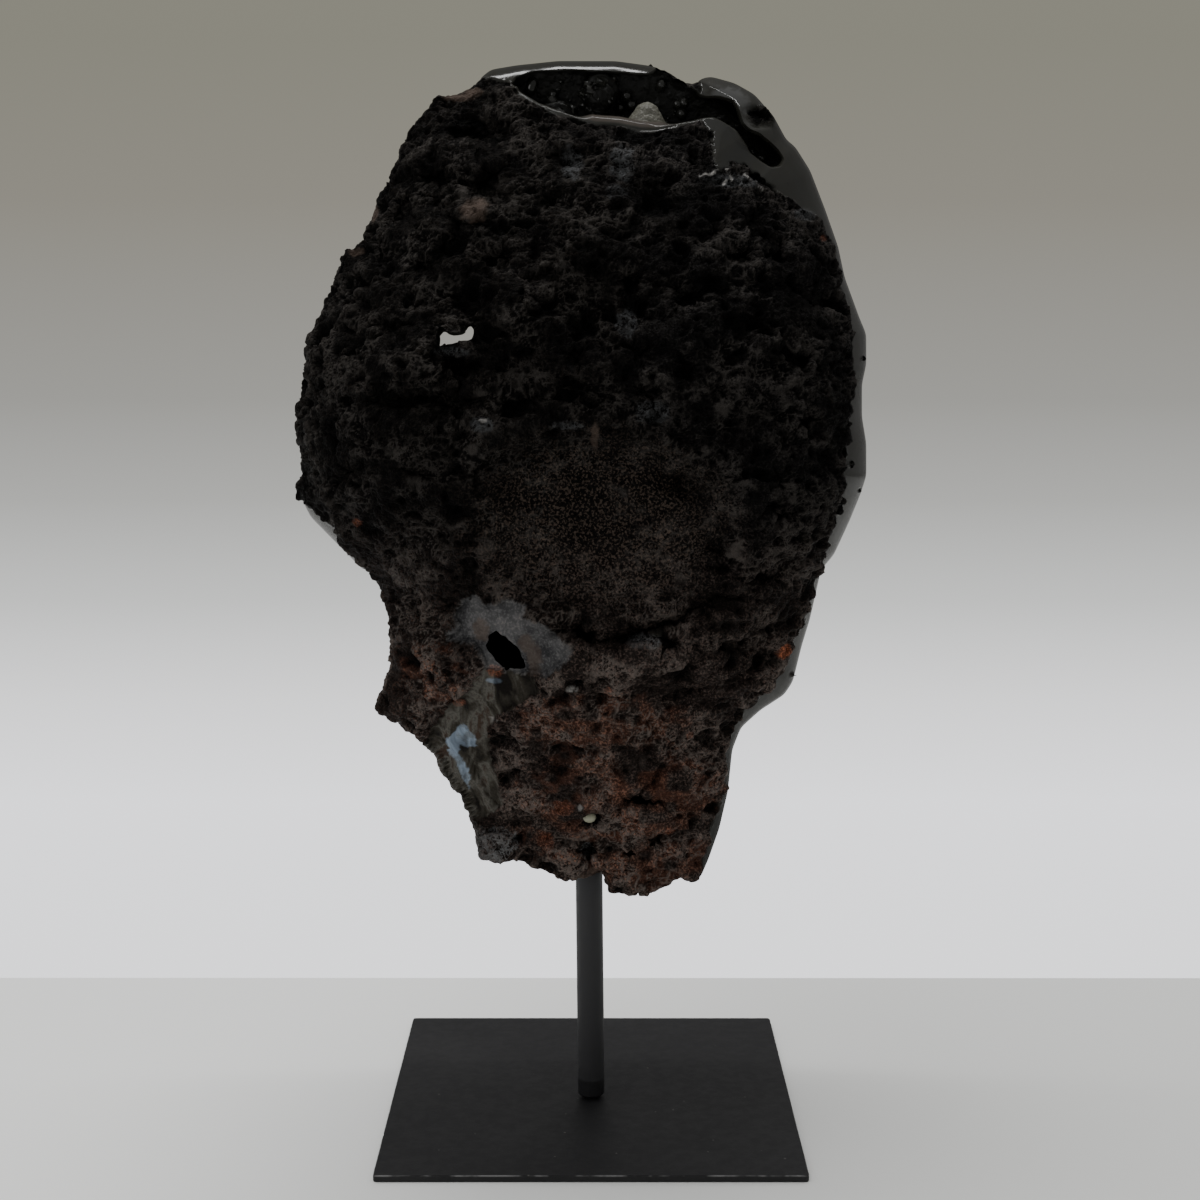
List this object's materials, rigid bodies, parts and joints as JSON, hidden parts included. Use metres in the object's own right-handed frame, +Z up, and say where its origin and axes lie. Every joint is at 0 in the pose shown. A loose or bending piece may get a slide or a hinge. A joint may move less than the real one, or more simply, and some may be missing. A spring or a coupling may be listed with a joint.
{
  "type": "agate geode specimen on a stand",
  "caption": "Upright agate geode with a rough vesicular basalt back, a sawn and polished face and a crystal-lined hollow, standing on a steel rod and square plate.",
  "frame": {"origin": "centre of the base plate's underside", "axes": "+Z up through the plate, -Y the stone's rough side, +Y its sawn and polished face"},
  "size_m": [0.263, 0.1906, 0.491],
  "materials": {
    "rough_stone": "rough vesicular basalt crust, with polished grey agate at its edges and sawn face",
    "druse": "small greenish grey quartz crystals",
    "black_steel": "satin charcoal black paint",
    "zinc_steel": "dull zinc plate",
    "adhesive": "glossy hardened resin"
  },
  "bodies": {
    "root": {"stone": "rough_stone", "crystal_crust": "druse", "rod": "black_steel", "base_plate": "black_steel", "base_screw": "zinc_steel", "adhesive_bead": "adhesive"}
  },
  "joints": []
}
